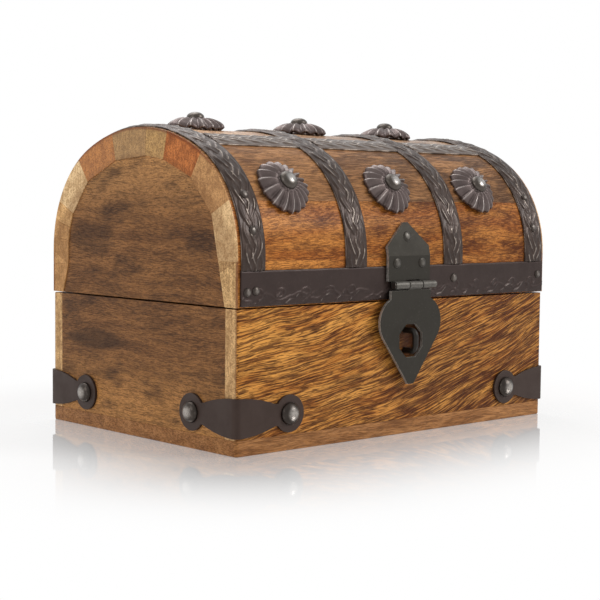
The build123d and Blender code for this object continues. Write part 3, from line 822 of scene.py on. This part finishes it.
def rosette_tree():
    """Thin sheet pressed into pleats round a hub, domed, its rim down on the curved wood."""
    kinds = {"Radius": "Float", "Height": "Float", "Pleat": "Float", "Wood Radius": "Float",
             "Flutes": "Int", "Seed": "Float", "Material": "Material"}
    nodes, given = new_tree("pleated rosette", **kinds)
    values = {"Size X": 1.0, "Size Y": 1.0, "Vertices X": given["Flutes"] * pleat_steps + 1,
              "Vertices Y": rosette_rings}
    grid = nodes.add("GeometryNodeMeshGrid", None, values)
    around, out, _ = nodes.split(nodes.add("GeometryNodeInputPosition"))
    angle = (around + 0.5) * (-2 * math.pi)
    reach = out + 0.5
    pleat = (angle * given["Flutes"] / (2 * math.pi) + angle.sin() * pleat_drift) % 1
    crest = (pleat / pleat_peak).least((1 - pleat) / (1 - pleat_peak))
    uneven = nodes.noise(nodes.join(angle.cos() * 2 + given["Seed"], angle.sin() * 2, reach * 2)) - 0.5
    depth = reach.ramp(0.12, 0.85)
    notch = (1 - crest) ** 1.6 * reach ** 4 * rim_notch
    radius = given["Radius"] * reach * (1 - notch + uneven * uneven_radius)
    rim = given["Pleat"] * 0.8
    dome = (1 - reach ** dome_level).most(0) ** dome_round * (given["Height"] - rim) + rim
    x = radius * angle.cos()
    y = radius * angle.sin()
    wood_drop = given["Wood Radius"] - (given["Wood Radius"] ** 2 - y * y).root()
    fold = given["Pleat"] * reach.ramp(0.8, 1.0, 1.0, 0.8)
    ring = (abs(reach - ring_place) / ring_half).ramp(0.0, 1.0, ring_depth, 0.0) * MM
    height = dome - (1 - crest) ** 1.2 * depth * fold - ring - wood_drop + uneven * depth * uneven_height
    # The pleats' crests carry wear and a painted highlight.
    moved = shape(nodes, grid, nodes.join(x, y, height), crest ** 4 * depth)
    merged = nodes.add("GeometryNodeMergeByDistance", None, {"Geometry": moved, "Distance": 0.002 * MM})
    return end_tree(nodes, merged, given["Material"])


def lid_matrix(x, distance, lift=0.0):
    """Frame on the lid: X along the chest, Z out of the wood."""
    y, z, lean = arch_place(distance, lift)
    return Matrix.Translation((x, y, z)) @ Matrix.Rotation(-lean, 4, "X")


def lid_spot(x, distance, lift):
    """Point on the lid and the direction out of the wood there."""
    turned = lid_matrix(x, distance, lift)
    return turned.translation, turned.to_3x3() @ Vector((0, 0, 1))


# The front rosettes sit at this share of the whole arch, counted from the lid's front edge
rosette_share = 0.217
rosette_front = -(0.5 - rosette_share) * 2 * arch_half
rosette_radius = 10.7 * MM
rosette_height = 4.6 * MM
rosette_sheet = 0.4 * MM
pleat_depth = 1.6 * MM
pleat_count = 18
# A plain sheet under the pleats stands in for the shade inside them: its share of the radius, and how far
# below the top it lies
shade_backing_share = 0.9
shade_backing_drop = 1.7 * MM
rosette_gap = 0.05 * MM
rosette_turn = 0.35
bead_lift = 3.6 * MM
pleats = rosette_tree()
beads = []
for number, place in enumerate(("left", "middle", "right")):
    x = span("rosette_front_" + place, 0)[0]
    for row, distance, wood_radius in (("front", rosette_front, haunch_radius), ("top", 0.0, crown_radius)):
        name = "rosette_" + row + "_" + place
        common = {"Flutes": pleat_count, "Wood Radius": wood_radius, "Material": rosette_iron}
        fan = run_tree(pleats, name + "_pleated", Radius=rosette_radius, Height=rosette_height,
                       Pleat=pleat_depth, Seed=2.3 * number + (5.0 if row == "top" else 0.0), **common)
        # The plain sheet under the pleats keeps the white beyond from showing through the gaps under the rim,
        # where there is only shade.
        shade_backing = run_tree(pleats, name + "_lining", Radius=shade_backing_share * rosette_radius,
                          Height=rosette_height - shade_backing_drop, Pleat=0.0, Seed=0.0, **common)
        mesh = joined(name + "_pleated", (fan, shade_backing))
        turn = Matrix.Rotation(rosette_turn * number + 0.1, 4, "Z")
        mesh.transform(lid_matrix(x, distance, rosette_gap) @ turn)
        rosette = place_object(name + "_pleated", mesh, "lid", rosette_iron, "rosette_metal", name)
        thicken(rosette, rosette_sheet)
        point, outward = lid_spot(x, distance, 0.0)
        beads.append((point + outward * bead_lift, outward))


# How much the heads of one kind differ in size, and how sharply their polish and painted highlight fall off
# from the top
smallest_head, largest_head = 0.95, 1.04
head_polish_and_highlight = 2.5


def head_tree():
    """Round heads: one dome put on every point, turned to the point's own direction."""
    kinds = {"Radius": "Float", "Height": "Float", "Cut": "Float", "Material": "Material"}
    nodes, given = new_tree("round heads", **kinds)
    ball = nodes.add("GeometryNodeMeshUVSphere", None, {"Segments": 32, "Rings": 20, "Radius": 1.0})
    x, y, z = nodes.split(nodes.add("GeometryNodeInputPosition"))
    rise = (z.most(given["Cut"]) - given["Cut"]) / (1 - given["Cut"]) * given["Height"]
    place = nodes.join(x * given["Radius"], y * given["Radius"], rise)
    dome = shape(nodes, ball, place, z.most(0) ** head_polish_and_highlight)
    outward = nodes.add("GeometryNodeInputNamedAttribute", {"data_type": "FLOAT_VECTOR"}, {"Name": "outward"})
    turn = nodes.add("FunctionNodeAlignRotationToVector", {"axis": "Z"}, {"Vector": outward})
    limits = {2: smallest_head, 3: largest_head, "Seed": 4}
    size = nodes.add("FunctionNodeRandomValue", {"data_type": "FLOAT"}, limits, 1)
    heads = nodes.add("GeometryNodeInstanceOnPoints", None,
                      {"Points": given["Geometry"], "Instance": dome, "Rotation": turn, "Scale": size})
    return end_tree(nodes, heads, given["Material"])


head_maker = head_tree()


def add_heads(name, body, material, places, *nodes, radius, height, cut=0.0):
    """One piece of round heads at (point, outward direction) places. cut is where their ball ends."""
    points = bpy.data.meshes.new(name + "_points")
    points.from_pydata([point for point, _ in places], [], [])
    outward = points.attributes.new("outward", "FLOAT_VECTOR", "POINT")
    for index, (_, direction) in enumerate(places):
        outward.data[index].vector = direction
    mesh = run_tree(head_maker, name, points, Radius=radius, Height=height, Cut=cut, Material=material)
    place_object(name, mesh, body, None, "tack_metal", *nodes)


add_heads("rosette_beads", "lid", bead_iron, beads, "rosette_tacks", radius=3.4 * MM, height=3.0 * MM,
          cut=-0.45)

tacks = []
tack_inset = 23 * MM
bracket_sheet = 1.0 * MM
tack_z = span("bracket_front_left", 2)[0]
for side_x in (-1, 1):
    for side_y in (-1, 1):
        face_y = side_y * (half_depth + bracket_sheet)
        face_x = side_x * (half_length + bracket_sheet)
        tacks.append((Vector((side_x * (half_length - tack_inset), face_y, tack_z)), Vector((0, side_y, 0))))
        tacks.append((Vector((face_x, side_y * (half_depth - tack_inset), tack_z)), Vector((side_x, 0, 0))))
add_heads("bracket_tack_heads", "base", tack_iron, tacks, "bracket_tacks", radius=3.9 * MM,
          height=2.5 * MM)

# Nails, in millimetres: on the front band by place along the chest and height, and on the two end bands
# by distance over the arch from the lid's front edge
front_band_nails = ((-76.2, 54.8), (-72.5, 55.2), (25.6, 56.8), (75.7, 56.8))
end_band_nails = (38.0, 25.5)

# The nails at the back ends of all four bands, and how high the embossing under the nails stands
back_nail = 4 * MM
end_nail_lift = 0.35 * MM
back_nail_lift = 0.3 * MM
nails = []
for x, z in front_band_nails:
    nails.append(lid_spot(x * MM, front_distance(z * MM), sheet))
for side in ("left_end", "right_end"):
    for distance in end_band_nails:
        middle = span("arch_band_" + side, 0)[0]
        nails.append(lid_spot(middle, -(arch_half - distance * MM), sheet + end_nail_lift))
for side in arch_sides:
    nails.append(lid_spot(span("arch_band_" + side, 0)[0], arch_half - back_nail, sheet + back_nail_lift))
add_heads("band_nails", "lid", nail_iron, nails, radius=1.6 * MM, height=0.8 * MM)

# Boards, staves and panels
for node, material in (("front_board", front_wood), ("back_board", back_wood)):
    eased(node, "base", material, "base_wood", width=0.25 * MM)
for node in ("end_board_left", "end_board_right"):
    eased(node, "base", end_wood, "base_wood", width=0.12 * MM)
eased("bottom_board", "base", bottom_wood, "bottom_wood", width=0.2 * MM)
for number, material in enumerate(stave_woods):
    eased("lid_stave_" + str(number + 1).zfill(2), "lid", material, "stave_wood", width=0.14 * MM)
for node in ("lid_panel_left", "lid_panel_right"):
    eased(node, "lid", panel_wood, "panel_wood", width=0.15 * MM)

# Brackets and hasp
for node in ("bracket_front_left", "bracket_front_right", "bracket_back_left", "bracket_back_right"):
    eased(node, "base", bracket_iron, "band_iron", width=0.18 * MM)
for node, body in (("hasp_plate", "lid"), ("hasp_heart", "hasp")):
    eased(node, body, hasp_iron, "hasp_metal", width=0.2 * MM, worn_and_highlit=cut_edge)

# The hasp's rivets: two low ones on its upright part, and one on the part that leans back
rivet_out = 6.6 * MM
rivet_y, rivet_z = -57.2 * MM, 63.0 * MM
top_rivet_y, top_rivet_z = -55.74 * MM, 72.6 * MM
leaf_lean = math.radians(11.8)
rivets = [(Vector((x, rivet_y, rivet_z)), Vector((0, -1, 0))) for x in (-rivet_out, rivet_out)]
leaning = Vector((0, -math.cos(leaf_lean), math.sin(leaf_lean)))
rivets.append((Vector((0, top_rivet_y, top_rivet_z)), leaning))
add_heads("hasp_rivet_heads", "lid", rivet_iron, rivets, "hasp_rivets", radius=1.95 * MM, height=0.6 * MM)
repaint("hasp_pin", barrel_iron)
repaint("staple", staple_iron)
for side in ("left", "right"):
    eased("hinge_" + side + "_base_leaf", "base", hinge_iron, "hinge_metal", width=0.15 * MM)
    eased("hinge_" + side + "_lid_leaf", "lid", hinge_iron, "hinge_metal", width=0.15 * MM)
    repaint("hinge_" + side + "_pin", barrel_iron)


def floor_material():
    """Polished near the chest, and a plain bright white further off."""
    material = bpy.data.materials.new("pale_floor")
    material.use_nodes = True
    material.node_tree.nodes.clear()
    nodes = Nodes(material.node_tree)
    x, y, _ = nodes.split(nodes.add("ShaderNodeTexCoord", output="Object"))
    out_x = (abs(x) - half_length).most(0)
    out_y = (abs(y) - half_depth).most(0)
    away = (out_x * out_x + out_y * out_y).root()
    polish_reach = 0.12
    far = away.ramp(0.0, polish_reach, 0.22, 1.0)
    mirrored = away.ramp(0.0, polish_reach, 0.75, 0.0)
    white = nodes.add("ShaderNodeEmission", None, {"Color": (1, 1, 1, 1), "Strength": 1.0})
    plain = nodes.add("ShaderNodeBsdfDiffuse", None, {"Color": srgb(244, 243, 242)})
    gloss = nodes.add("ShaderNodeBsdfGlossy", None, {"Color": (1, 1, 1, 1), "Roughness": 0.03})
    near = nodes.add("ShaderNodeMixShader", None, {0: mirrored, 1: plain, 2: gloss})
    mixed = nodes.add("ShaderNodeMixShader", None, {0: far, 1: near, 2: white})
    nodes.add("ShaderNodeOutputMaterial", None, {0: mixed})
    return material


floor_reach = 3.0
floor_corners = [(-floor_reach, -floor_reach, 0), (floor_reach, -floor_reach, 0),
                 (floor_reach, floor_reach, 0), (-floor_reach, floor_reach, 0)]
floor_mesh = bpy.data.meshes.new("floor")
floor_mesh.from_pydata(floor_corners, [], [(0, 1, 2, 3)])
floor_mesh.materials.append(floor_material())
floor = bpy.data.objects.new("floor", floor_mesh)
bpy.context.scene.collection.objects.link(floor)

# The world lights the chest softly. The camera sees it white, and in reflections it is brighter behind
# the chest than in front of it.
world = bpy.data.worlds.new("white studio")
bpy.context.scene.world = world
world.use_nodes = True
world.node_tree.nodes.clear()
sky = Nodes(world.node_tree)
rays = sky.add("ShaderNodeLightPath").socket.node.outputs
seen = Value(sky, rays["Is Camera Ray"]).most(Value(sky, rays["Is Transmission Ray"]))
_, behind, _ = sky.split(sky.add("ShaderNodeTexCoord", output="Generated"))
seen = seen.most(Value(sky, rays["Is Glossy Ray"]) * behind.ramp(-0.7, 0.3, 0.25, 0.95))
soft = sky.add("ShaderNodeBackground", None, {"Color": (1, 1, 1, 1), "Strength": 0.46})
bright = sky.add("ShaderNodeBackground", None, {"Color": (1, 1, 1, 1), "Strength": 1.0})
mixed = sky.add("ShaderNodeMixShader", None, {0: seen, 1: soft, 2: bright})
sky.add("ShaderNodeOutputWorld", None, {0: mixed})

chest_middle = Vector((0, 0, 0.05))


def soft_light(name, place, size, watts):
    """Square soft box aimed at the chest's middle."""
    lamp = bpy.data.lights.new(name, "AREA")
    lamp.shape = "SQUARE"
    lamp.size = size
    lamp.energy = watts
    light = bpy.data.objects.new(name, lamp)
    light.location = place
    light.rotation_mode = "QUATERNION"
    light.rotation_quaternion = (chest_middle - Vector(place)).to_track_quat("-Z", "Y")
    bpy.context.scene.collection.objects.link(light)


soft_light("front right box", (0.55, -0.75, 0.60), size=0.40, watts=5.1)
soft_light("left box", (-0.85, -0.10, 0.45), size=0.45, watts=1.2)
soft_light("top box", (0.05, 0.35, 0.80), size=0.60, watts=3.6)

camera_place = (-0.3845, -0.4193, 0.0859)
azimuth, elevation, roll = math.radians(-42.39), math.radians(4.0), math.radians(0.57)
camera_data = bpy.data.cameras.new("camera")
camera_data.sensor_width = 36
camera_data.lens = 86.8
camera_data.clip_start = 0.01
camera = bpy.data.objects.new("camera", camera_data)
level = math.cos(elevation)
back = Vector((math.sin(azimuth) * level, -math.cos(azimuth) * level, math.sin(elevation)))
right = Vector((math.cos(azimuth), math.sin(azimuth), 0))
up = back.cross(right)
rolled_right = right * math.cos(roll) + up * math.sin(roll)
rolled_up = up * math.cos(roll) - right * math.sin(roll)
axes = Matrix((rolled_right, rolled_up, back)).transposed()
camera.matrix_world = Matrix.Translation(camera_place) @ axes.to_4x4()
bpy.context.scene.collection.objects.link(camera)
bpy.context.scene.camera = camera
bpy.context.scene.view_settings.view_transform = "Standard"
